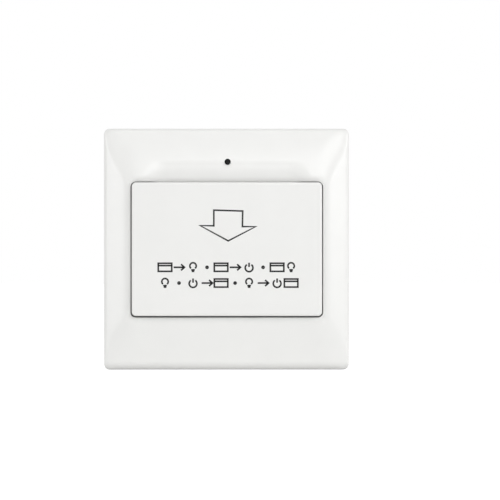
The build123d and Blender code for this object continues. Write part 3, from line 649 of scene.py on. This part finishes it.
@dataclass
class Bezel(Assembly):
    """The white frame: a ring of one profile carried round the rim, with the card's mouth in it.

    The profile is a function of a share, which runs from the rim (0) to the window's edge (1), so
    the hips lie straight from corner to corner. The mouth is a second height over x and z, and the
    lower of the two is the surface, with a soft change between them.
    """

    half: float = 43.0
    half_height: float = 42.25
    window_half: float = 33.68
    window_top: float = 23.6
    window_foot: float = -23.9
    corner: float = 2.0
    window_corner: float = 1.8
    least_corner: float = 0.6
    inset_corner_share: float = 0.4
    hip_softness: float = 5.0
    hip_bias: float = 0.75

    back_out: float = 0.3
    back_step: float = 0.4
    rim_out: float = 7.5
    rim_step: float = 0.5
    rise: float = 5.5
    rim_round: float = 1.2
    rim_share: float = 0.12
    knee_share: float = 0.65
    knee_rise_share: float = 0.84
    edge_share: float = 0.97
    edge_round: float = 0.25
    edge_bevel_share: float = 0.7
    edge_fall: float = 0.45
    edge_reach: float = 2.8
    wall: float = 2.0
    lip_wall: float = 1.6
    lip_out: float = 8.3

    mouth_floor: float = 8.8
    mouth_half: float = 21.1
    mouth_slope: float = 1.9
    mouth_reach: float = 6.6
    mouth_dip: float = 0.2
    mouth_turn: float = 30.0
    mouth_overlap: float = 0.3
    mouth_open_depth: float = 1.5
    mouth_softness: float = 2.8
    brow_softness: float = 0.9
    brow_slope: float = 3.0
    below_top: float = 1.0
    out_of_the_way: float = 40.0
    notch_half: float = 4.0
    notch_height: float = 1.4

    # Points along the right, top, left and foot, then round each corner
    side_points: tuple[int, int, int, int] = (56, 260, 56, 90)
    corner_points: int = 9
    # Rows up the wall, over the rim, then over the crown's three stretches, closer near the window
    wall_rows: int = 3
    rim_rows: int = 9
    crown_rows: tuple[int, int, int] = (16, 20, 9)
    close_rows_share: float = 0.74
    inner_shares: tuple[float, ...] = (1.0, 0.62, 0.45, 0.3, 0.15, 0.0, 0.0)

    ribs: BarRow = BarRow((-29.52, -12.3, 12.3, 29.52), 6.4, 39.4, (1.0, 2.2, 4.4), 0.18)
    noses: BarRow = BarRow((-20.0, 20.0), 3.2, 40.25, (8.0, 1.5, 1.5), 0.8)
    tube: Tube = Tube((0.4, 30.6), 2.2, 1.15, 8.3, 10.4)

    def height(self, share: Array) -> Array:
        """How far out the crown stands: a parabola's arc whose middle control point is the knee.

        Args:
            share: The places from the rim (0) to the window (1).

        Returns:
            The heights there.
        """
        bend = 1 - 2 * self.knee_share
        turn = (np.sqrt(self.knee_share**2 + bend * share) - self.knee_share) / bend
        return self.rim_out + self.rise * (2 * turn * (1 - turn) * self.knee_rise_share + turn**2)

    def ring(self, half: Array, low: Array, high: Array, corner: Array) -> Array:
        """Round rectangles, one for each row, with the same stations on every one.

        A point is the corner arc's middle, pushed out by the radius along the side's normal.

        Args:
            half: Half of each rectangle's width.
            low: Each rectangle's foot.
            high: Each rectangle's top.
            corner: Each rectangle's corner radius.

        Returns:
            The points (x, z), rows by stations by two.
        """
        across, up, turn = [], [], []
        for number, count in enumerate(self.side_points):
            run = np.linspace(-1, 1, count, endpoint=False)
            bend = np.linspace(0, 1, self.corner_points, endpoint=False)
            side = ((1, run), (-run, 1), (-1, -run), (run, -1))[number]
            end = ((1, 1), (-1, 1), (-1, -1), (1, -1))[number]
            across += [np.broadcast_to(side[0], count), np.full(self.corner_points, end[0])]
            up += [np.broadcast_to(side[1], count), np.full(self.corner_points, end[1])]
            turn += [np.full(count, pi / 2 * number), pi / 2 * (number + bend)]
        across, up, turn = (np.concatenate(values) for values in (across, up, turn))
        middle, tall = ((high + low) / 2)[:, None], ((high - low) / 2)[:, None]
        half, corner = half[:, None], corner[:, None]
        x = across * (half - corner) + corner * np.cos(turn)
        z = middle + up * (tall - corner) + corner * np.sin(turn)
        return np.stack([x, z], axis=-1)

    def at_share(self, share: Array, inset: Array) -> Array:
        """The rings at some shares: rim and window are mixed, and the corners swell between them.

        Args:
            share: The rows' places from the rim (0) to the window (1).
            inset: How far each row is drawn in.

        Returns:
            The points (x, z), rows by stations by two.
        """
        low = -self.half_height + (self.window_foot + self.half_height) * share + inset
        high = self.half_height + (self.window_top - self.half_height) * share - inset
        half = self.half + (self.window_half - self.half) * share - inset
        corner = self.corner + (self.window_corner - self.corner) * share
        corner = corner + self.hip_softness * np.sin(pi * share**self.hip_bias)
        corner = np.maximum(corner - inset * self.inset_corner_share, self.least_corner)
        return self.ring(half, low, high, corner)

    def mouth(self, x: Array, z: Array) -> Array:
        """The mouth's own height: a superellipse's drop in z at the panel, sloping ends in x.

        Args:
            x: The places across.
            z: The places up.

        Returns:
            The heights, well out of the way where there is no mouth.
        """
        top = self.window_top + self.mouth_reach
        share = 1 - self.mouth_reach / (self.half_height - self.window_top)
        brow = self.height(np.array(share))
        along = np.clip((top - z) / self.mouth_reach, 0, 1)
        fall = 1 - (1 - along**self.mouth_turn) ** (1 / self.mouth_turn)
        roll = brow - self.mouth_dip * along**2 - (brow - self.mouth_dip - self.mouth_floor) * fall
        roll = roll + self.brow_slope * np.maximum(z - top, 0)
        roll = np.where(z < self.window_top - self.below_top, self.out_of_the_way, roll)
        ends = self.mouth_floor + (np.abs(x) - self.mouth_half) / self.mouth_slope
        return soft_max(roll, ends, self.mouth_softness)

    def profile(self) -> tuple[Array, Array]:
        """The outside's rows: up the wall, round the rim on a parabola, then over the crown.

        Returns:
            Each row's share and how far out it stands without the mouth.
        """
        turn = np.linspace(0, 1, self.rim_rows)
        stops = (self.rim_share, self.close_rows_share, self.edge_share, 1.0)
        stretches = zip(stops, stops[1:], self.crown_rows)
        crown = [np.linspace(start, end, count)[1:] for start, end, count in stretches]
        share = np.concatenate([np.zeros(self.wall_rows), self.rim_share * turn**2, *crown])
        out = self.height(share)
        rim_foot = self.rim_out - self.rim_round - self.rim_step
        out[: self.wall_rows] = [self.back_out, self.back_out + self.back_step, rim_foot]
        out[self.wall_rows : self.wall_rows + self.rim_rows] -= self.rim_round * (1 - turn) ** 2
        return share, out

    def outside(self, places: Array, out: Array) -> Array:
        """The outside's heights: the profile less a quadratic fall, or the mouth where it is lower.

        Args:
            places: The rows' points (x, z).
            out: Each row's own height.

        Returns:
            The heights, rows by stations.
        """
        x, z = places[..., 0], places[..., 1]
        away = np.maximum(np.abs(x) - self.window_half, z - self.window_top)
        away = np.maximum(away, self.window_foot - z)
        fall = self.edge_fall * np.clip(1 - away / self.edge_reach, 0, 1) ** 2
        heights = out[:, None] - fall
        pressed = -soft_max(-heights, -self.mouth(x, z), self.brow_softness)
        has_mouth = z > self.window_top - self.below_top
        has_mouth[: self.wall_rows] = False
        return np.where(has_mouth, pressed, heights)

    def inside(self, lip_back: Array) -> tuple[Array, Array]:
        """The inside's rows: a wall's thickness behind the crown and in from the rim.

        Args:
            lip_back: How far out the lip's back stands at each station.

        Returns:
            The rows' points (x, z) and heights.
        """
        share = np.array(self.inner_shares)
        inset = np.full(len(share), self.wall)
        inset[0] = -self.lip_wall
        places = self.at_share(share, inset)
        out = self.height(share) - self.wall
        heights = np.broadcast_to(out[:, None], places.shape[:2]).copy()
        heights[0] = lip_back
        heights[-1] = self.back_out
        return places, heights

    def surface(self) -> Patch:
        """Carries the whole profile round: wall, rim, crown, window edge, lip and inside.

        Returns:
            The closed ring.
        """
        share, out = self.profile()
        places = self.at_share(share, np.zeros_like(share))
        heights = self.outside(places, out)
        edge = heights[-1] - self.edge_round
        heights[-1] = edge + self.edge_round * self.edge_bevel_share
        lip_back = np.minimum(self.lip_out, edge - self.wall)
        lip = np.stack([edge, (edge + lip_back) / 2, lip_back])

        # Where the mouth is open, the rows by the window reach over the panel's edge
        depth = self.rim_out + self.rise - self.mouth_open_depth - edge
        open_share = np.clip(depth / self.mouth_open_depth, 0, 1)
        by_window = np.clip((share[:, None] - self.edge_share) / (1 - self.edge_share), 0, 1)
        places[..., 1] -= self.mouth_overlap * open_share * by_window
        inner_places, inner = self.inside(lip_back)

        # The pry notch in the middle of the foot
        notch = (np.abs(places[0, :, 0]) < self.notch_half) & (places[0, :, 1] < 0)
        heights[:2] += notch * self.notch_height
        inner[-1] += notch * self.notch_height
        lip_places = np.repeat(places[-1:], len(lip), axis=0)
        xz = np.concatenate([places, lip_places, inner_places])
        outs = np.concatenate([heights, lip, inner])
        grid = np.stack([xz[..., 0], outs, xz[..., 1]], axis=-1)
        return Patch.from_grid(grid, ring=True, loop=True).flipped()

    def build(self) -> None:
        """Builds the ring with its ribs, noses and tube, and hides the plain node."""
        bars = self.ribs.patches() + self.noses.patches()
        piece = add_mesh("bezel_shell", [self.surface(), *bars, self.tube.patch()])
        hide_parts("bezel")
        self.add(piece, Body.FRONT, Slot.WHITE_FACE, WHITE_FACE)


# Screws


@dataclass(frozen=True)
class Screw:
    """A slotted screw: one outline turned round its axis, with a helical ridge on the shank.

    The ridge's height is a triangle wave of the axial place less the turn. The columns of the
    head's rings lie on the slot's edges at every radius, so its walls stand upright.
    """

    place: Pair
    seat_out: float
    direction: int
    radius: float
    length: float
    head_radius: float
    head_height: float
    pitch: float = 0.5
    neck: float = 0.0
    slot_width: float = 0.9
    slot_share: float = 0.5

    tip_share: float = 0.7
    neck_share: float = 0.875
    neck_step: float = 0.05
    thread_share: float = 0.42
    thread_end: float = 0.01
    rows_per_turn: int = 8
    slot_columns: int = 5
    land_columns: int = 19
    slot_inset: float = 0.99
    widest_slot: float = 0.98
    head_edge: float = 0.25
    head_edge_share: float = 0.25
    # The head's rings from the seat to the slot's middle: the first seven are shares of the head's
    # radius and the last two of the slot's width, and each lies some edges below the top
    ring_shares: tuple[float, ...] = (1, 1, 0.97, 0.9, 0.7, 0.5, 0.3)
    core_shares: Pair = (0.55, 0.49)
    ring_drops: tuple[float, ...] = (0, 1, 0.3, 0.12, 0.05, 0.02, 0, 0, 0)

    def columns(self, radius: Array) -> tuple[Array, Array]:
        """Each ring's angles: the slot's half width over the radius is the sine of its edge.

        Args:
            radius: The rings' radii.

        Returns:
            The angles, rings by columns, and one flag for each column that lies in the slot.
        """
        edge = np.arcsin(np.clip(self.slot_width / 2 / radius, 0, self.widest_slot))[:, None]
        slot = np.linspace(-1, 1, self.slot_columns)[None, :] * edge * self.slot_inset
        land = edge + np.linspace(0, 1, self.land_columns)[None, :] * (pi - 2 * edge)
        turns = np.concatenate([slot, land, slot + pi, land + pi], axis=1)
        in_slot = np.arange(self.slot_columns + self.land_columns) < self.slot_columns
        return turns, np.concatenate([in_slot, in_slot])

    def outline(self) -> tuple[Array, Array]:
        """The shank's rings from the tip to the seat, tapered over the first pitch.

        Returns:
            The rings' radii and their places along the axis.
        """
        count = int((self.length - self.neck) / self.pitch * self.rows_per_turn)
        along = np.linspace(-self.length, -self.neck, count)
        taper = np.clip((along + self.length) / self.pitch, 0.0, 1.0)
        radius = self.radius * (self.tip_share + (1 - self.tip_share) * taper)
        if self.neck:
            along = np.concatenate([along, [-self.neck + self.neck_step, 0.0]])
            radius = np.concatenate([radius, [self.radius * self.neck_share] * 2])
        return radius, along

    def head(self) -> tuple[Array, Array]:
        """The head's rings from the seat to the middle of its top.

        Returns:
            The rings' radii and their places along the axis.
        """
        rings = np.array(self.ring_shares) * self.head_radius
        radius = np.concatenate([rings, np.array(self.core_shares) * self.slot_width])
        edge = min(self.head_edge, self.head_height * self.head_edge_share)
        along = self.head_height - np.array(self.ring_drops) * edge
        along[0] = 0
        return radius, along

    def patch(self) -> Patch:
        """The whole screw as one closed grid, from the tip to the slot.

        Returns:
            The patch.
        """
        radius, along = self.outline()
        turns, in_slot = self.columns(np.full(len(radius), self.head_radius))
        wave = np.abs(((along[:, None] / self.pitch - turns / (2 * pi)) % 1) - 0.5) * 2
        threaded = (along < -self.neck - self.thread_end)[:, None]
        shank = radius[:, None] - np.where(threaded, self.pitch * self.thread_share * wave, 0)

        ring_radius, ring_along = self.head()
        head_turns, _ = self.columns(ring_radius)
        floor = self.head_height * (1 - self.slot_share)
        sunk = in_slot[None, :] | (ring_radius < self.slot_width / 2)[:, None]
        tops = np.where(sunk, np.minimum(ring_along, floor)[:, None], ring_along[:, None])

        heads = np.broadcast_to(ring_radius[:, None], head_turns.shape)
        radii, angles = np.concatenate([shank, heads]), np.concatenate([turns, head_turns])
        places = np.concatenate([np.broadcast_to(along[:, None], turns.shape), tops])
        x = self.place[0] + radii * np.cos(angles)
        z = self.place[1] + radii * np.sin(angles)
        grid = np.stack([x, self.seat_out + self.direction * places, z], axis=-1)
        patch = Patch.rod(grid)
        return patch if self.direction < 0 else patch.flipped()

    def mirrored(self, side: int, end: int) -> "Screw":
        """The same screw on another side (x) and end (z), each 1 or -1."""
        return replace(self, place=(side * self.place[0], end * self.place[1]))


@dataclass
class ScrewKit(Assembly):
    """The screws that are seen, each set in the place of its plain node."""

    wall: Screw = Screw((30.15, 0.0), 2.0, 1, 2.0, 20.0, 3.8, 2.4, 0.7, neck=2.0)
    cover: Screw = Screw((21.5, 26.0), 3.4, 1, 1.25, 8.0, 2.0, 1.2, 0.45)
    board: Screw = Screw((19.55, 18.15), -18.9, 1, 1.25, 6.0, 2.0, 1.2, 0.45)
    clamp: Screw = Screw((0.0, -22.85), -31.15, -1, 1.5, 4.4, 2.9, 1.1)
    poles: int = 4
    pole_pitch: float = 9.5

    def sets(self) -> dict[str, tuple[Body, list[Screw]]]:
        """Lists each node's screws, mirrored or in a row.

        Returns:
            Each node's name with the body that it rides on and its screws.
        """
        sides = (-1, 1)
        cover = [self.cover.mirrored(side, end) for side in sides for end in sides]
        sets = {
            "mounting_screws": (Body.BASE, [self.wall.mirrored(side, 1) for side in sides]),
            "inner_cover_screws": (Body.BASE, cover),
            "board_screws": (Body.BASE, [self.board.mirrored(side, 1) for side in sides]),
        }
        for pole in range(self.poles):
            x = self.pole_pitch * (pole - (self.poles - 1) / 2)
            node = f"terminal_screw_{pole + 1}"
            sets[node] = (Body(node), [replace(self.clamp, place=(x, self.clamp.place[1]))])
        return sets

    def build(self) -> None:
        """Builds every set of screws and hides the plain nodes."""
        for node, (body, screws) in self.sets().items():
            piece = add_mesh(f"{node}_threaded", [screw.patch() for screw in screws])
            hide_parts(node)
            self.add(piece, body, Slot.ZINC_STEEL, ZINC_STEEL)


# Prints and lens on the front


@dataclass
class FrontPrint(Assembly):
    """The arrow and the two rows of small signs, in thin ink on the panel."""

    face_out: float = 15.0
    ink: float = 0.03
    mitre_limit: float = 0.4
    line: float = 0.56
    fine_line: float = 0.58
    sign_scale: float = 1.18
    pitch: float = 4.9
    row_x: float = 0.4
    upper_z: float = -6.35
    lower_z: float = -11.85
    arrow_corners: tuple[Pair, ...] = (
        *((-4.58, 13.65), (5.52, 13.33), (5.41, 7.87), (10.05, 7.87)),
        *((0.45, 2.90), (-9.40, 8.25), (-4.58, 8.15)),
    )
    upper: tuple[Sign, ...] = (
        *(Sign.CARD, Sign.ARROW, Sign.LAMP, Sign.DOT),
        *(Sign.CARD, Sign.ARROW, Sign.POWER, Sign.DOT),
        *(Sign.CARD, Sign.LAMP),
    )
    lower: tuple[Sign, ...] = (
        *(Sign.LAMP, Sign.DOT, Sign.POWER, Sign.ARROW, Sign.CARD),
        *(Sign.DOT, Sign.LAMP, Sign.ARROW, Sign.POWER, Sign.CARD),
    )

    def line_of(self, path: Array, width: float, closed: bool) -> Patch:
        """A line of ink: a flat band's outline carried along a path, with mitred bends.

        At each point the band's edge lies along the mean of the two normals, at half the width over
        the cosine of half the bend.

        Args:
            path: The points (x, z) that the line's middle passes.
            width: The line's width.
            closed: Whether the last point joins the first.

        Returns:
            The patch.
        """
        ahead = np.roll(path, -1, axis=0) - path
        behind = path - np.roll(path, 1, axis=0)
        if not closed:
            ahead[-1], behind[0] = behind[-1], ahead[0]
        ahead = ahead / np.linalg.norm(ahead, axis=1, keepdims=True)
        behind = behind / np.linalg.norm(behind, axis=1, keepdims=True)
        mean = ahead + behind
        normal = np.stack([-mean[:, 1], mean[:, 0]], axis=1)
        normal /= np.linalg.norm(normal, axis=1, keepdims=True)
        half_bend = np.abs((normal * np.stack([-ahead[:, 1], ahead[:, 0]], axis=1)).sum(axis=1))
        reach = (width / 2 / np.maximum(half_bend, self.mitre_limit))[:, None]
        left, right = path + normal * reach, path - normal * reach
        low, high = self.face_out - self.ink, self.face_out + self.ink
        edges = ((left, low), (left, high), (right, high), (right, low))
        grid = np.stack([np.insert(side, 1, out, axis=1) for side, out in edges], axis=1)
        patch = Patch.from_grid(grid, ring=True, loop=True) if closed else Patch.rod(grid)
        return patch.flipped()

    def arrow(self) -> list[Patch]:
        """The outline arrow that points into the pocket, with its uneven shoulders."""
        return [self.line_of(np.array(self.arrow_corners)[::-1], self.line, True)]

    def signs(self) -> dict[Sign, list[tuple[Array | list, bool]]]:
        """Draws the signs about the origin, before they are scaled.

        Returns:
            Each sign's paths (x, z), and whether each is closed.
        """
        return {
            Sign.CARD: [
                ([(-2, -1.2), (2, -1.2), (2, 1.2), (-2, 1.2)], True),
                ([(-2, 0.5), (2, 0.5)], False),
            ],
            Sign.ARROW: [
                ([(-1.6, 0), (1.5, 0)], False),
                ([(0.6, 0.9), (1.6, 0), (0.6, -0.9)], False),
            ],
            Sign.LAMP: [
                (arc(0.95, 0.4, -50, 230, 20), False),
                ([(-0.55, -0.75), (0.55, -0.75)], False),
                ([(-0.4, -1.2), (0.4, -1.2)], False),
            ],
            Sign.POWER: [(arc(1.15, -0.15, 125, 415, 20), False), ([(0, 0.1), (0, 1.35)], False)],
            Sign.DOT: [(arc(0.3, 0, 0, 345, 24), True)],
        }

    def row(self, names: tuple[Sign, ...], z: float) -> list[Patch]:
        """One row of signs at an even pitch.

        Args:
            names: The signs from left to right.
            z: The row's middle.

        Returns:
            The lines of ink.
        """
        signs = self.signs()
        first = self.row_x - self.pitch * (len(names) - 1) / 2
        return [
            self.line_of(np.array(path) * self.sign_scale + (x, z), self.fine_line, closed)
            for x, name in zip(first + self.pitch * np.arange(len(names)), names)
            for path, closed in signs[name]
        ]

    def build(self) -> None:
        """Lays the ink on the panel."""
        prints = {
            "arrow_print": self.arrow(),
            "guide_print_upper": self.row(self.upper, self.upper_z),
            "guide_print_lower": self.row(self.lower, self.lower_z),
        }
        for name, patches in prints.items():
            self.add(add_mesh(name, patches), Body.FRONT, Slot.CHIP_BLACK, INK)


@dataclass
class Lens(Assembly):
    """The light pipe: an outline turned round its axis, with a face that follows the crown.

    The face is the crown's own height there plus a dome, the root of one less the radius squared.
    """

    bezel: Bezel
    x: float = 0.3
    z: float = 30.6
    radius: float = 1.08
    collar: float = 1.6
    back_out: float = 7.2
    collar_outs: Pair = (7.3, 8.3)
    dome: float = 0.12
    dome_foot: float = 0.15
    dome_rows: int = 9
    columns: int = 48

    def build(self) -> None:
        """Builds the pipe as one turned surface and hides the plain node."""
        low, high = self.collar_outs
        outs = np.array([self.back_out, low, low, high, high])[:, None]
        neck = [self.radius, self.radius, self.collar, self.collar, self.radius]
        swell = self.radius * np.cos(np.linspace(0, pi / 2, self.dome_rows)[:-1])
        radius = np.concatenate([neck, swell])[:, None]
        turn = np.linspace(0, 2 * pi, self.columns, endpoint=False)[None, :]
        x, z = self.x + radius * np.cos(turn), self.z + radius * np.sin(turn)

        top, foot = self.bezel.half_height, self.bezel.window_top
        inward = (radius / self.radius).clip(0, 1)
        dome = self.dome * (self.dome_foot + np.sqrt(1 - inward**2))
        face = self.bezel.height((top - z) / (top - foot)) + dome
        shank = np.broadcast_to(outs, (len(neck), self.columns))
        grid = np.stack([x, np.concatenate([shank, face[len(neck) :]]), z], axis=-1)
        piece = add_mesh("light_pipe_lens", [Patch.rod(grid).flipped()])
        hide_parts("light_pipe")
        self.add(piece, Body.FRONT, Slot.SMOKED_PIPE, SMOKED_PIPE)


# Stage


@dataclass(frozen=True)
class Softbox:
    """A soft square light: where it stands and its side, in metres, and its power in watts."""

    name: str
    place: Triple
    size: float
    power: float

    def build(self) -> None:
        """Sets the light up, aimed at the object."""
        data = bpy.data.lights.new(self.name, "AREA")
        data.size = self.size
        data.energy = self.power
        lamp = add_object(self.name, data)
        lamp.location = self.place
        lamp.rotation_euler = (-Vector(self.place)).to_track_quat("-Z", "Y").to_euler()


@dataclass
class Studio:
    """A pale floor, soft lights and a long lens square to the front.

    Lengths are metres here, except the floor's height and the sensor, which are millimetres. The
    camera's turn is in degrees.
    """

    floor_z: float = -42.35
    floor_reach: float = 6.0
    floor_points: int = 9
    floor_paper: str = "F4F4F4"
    floor_glow: float = 0.62
    floor_bounce: float = 0.046
    white: str = "FFFFFF"
    surround: float = 0.486
    distance: float = 2.4
    back: float = 0.01
    azimuth: float = -0.9
    picture_width: float = 0.1752
    sensor: float = 36.0
    shift: Pair = (0.0466, -0.0017)
    softboxes: tuple[Softbox, ...] = (
        Softbox("right", (0.95, -0.45, 0.25), 0.5, 2.648),
        Softbox("left", (-0.95, -0.45, 0.15), 0.5, 2.288),
        Softbox("top", (0.1, -0.45, 0.95), 0.6, 0.916),
        Softbox("front", (0.3, -1.1, 0.5), 0.6, 3.098),
    )

    def seen(self, tree: Tree) -> Socket:
        """Tells the rays that show a thing as a picture: the camera's, a mirror's, a clear piece's.

        Args:
            tree: The tree that asks.

        Returns:
            An output that is 1 for those rays and 0 for the rest.
        """
        path = add_node(tree, "LightPath").outputs
        mirrored = {0: path["Is Camera Ray"], 1: path["Is Glossy Ray"]}
        either = add_node(tree, "Math", mirrored, operation="MAXIMUM").outputs[0]
        cleared = {0: either, 1: path["Is Transmission Ray"]}
        return add_node(tree, "Math", cleared, operation="MAXIMUM").outputs[0]

    def sweep(self) -> None:
        """The floor: a wide flat grid that glows more where it is seen, so that it looks white."""
        span = np.linspace(-self.floor_reach, self.floor_reach, self.floor_points) / MM
        x, y = np.meshgrid(span, span, indexing="ij")
        grid = np.stack([x, y, np.full_like(x, self.floor_z)], axis=-1)
        piece = add_mesh("floor", [Patch.from_grid(grid)])
        piece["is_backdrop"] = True
        material = bpy.data.materials.new("floor_paper")
        tree = blank_tree(material)
        paper = add_node(tree, "BsdfDiffuse", {"Color": linear(self.floor_paper)})
        glows = {"Value": self.seen(tree), "To Min": self.floor_bounce, "To Max": self.floor_glow}
        strength = add_node(tree, "MapRange", glows).outputs[0]
        glow = add_node(tree, "Emission", {"Color": linear(self.white), "Strength": strength})
        lit = add_node(tree, "AddShader", {0: paper.outputs[0], 1: glow.outputs[0]})
        add_node(tree, "OutputMaterial", {"Surface": lit.outputs[0]})
        piece.data.materials.clear()
        piece.data.materials.append(material)

    def world(self) -> None:
        """A pale surround, pure white where it is seen."""
        world = bpy.data.worlds.new("surround")
        tree = blank_tree(world)
        white = {"Color": linear(self.white)}
        pale = add_node(tree, "Background", white | {"Strength": self.surround})
        pure = add_node(tree, "Background", white | {"Strength": 1.0})
        layers = {0: self.seen(tree), 1: pale.outputs[0], 2: pure.outputs[0]}
        both = add_node(tree, "MixShader", layers)
        add_node(tree, "OutputWorld", {"Surface": both.outputs[0]})
        bpy.context.scene.world = world

    def camera(self) -> None:
        """A long lens in front of the middle, shifted to where the picture has the object."""
        data = bpy.data.cameras.new("camera")
        data.sensor_width = self.sensor
        data.lens = self.sensor * self.distance / self.picture_width
        data.shift_x, data.shift_y = self.shift
        camera = add_object("camera", data)
        turn = radians(self.azimuth)
        ahead = -self.distance * cos(turn) - self.back
        camera.location = (self.distance * sin(turn), ahead, 0.0)
        camera.rotation_euler = (pi / 2, 0.0, turn)
        bpy.context.scene.camera = camera

    def build(self) -> None:
        """Sets the whole stage up."""
        bpy.context.scene.view_settings.view_transform = "Standard"
        self.sweep()
        self.world()
        for softbox in self.softboxes:
            softbox.build()
        self.camera()


def plain_bounds(bounds: object) -> object:
    return json.loads(json.dumps(bounds, default=lambda value: [float(number) for number in value]))


def main() -> None:
    """Dresses the frame, adds the fine pieces and sets the stage."""
    wardrobe = Wardrobe()
    wardrobe.dress_frame()
    bezel = Bezel(wardrobe)
    for assembly in (bezel, ScrewKit(wardrobe), FrontPrint(wardrobe), Lens(wardrobe, bezel)):
        assembly.build()
        log.info("built %s", type(assembly).__name__)
    Studio().build()
    log.info("set the stage")
    {"packed": plain_bounds(packed_bounds), "dressed": plain_bounds(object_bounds())}


if __name__ == "__main__":
    logging.basicConfig(level=logging.INFO, format="%(name)s: %(message)s")
    main()
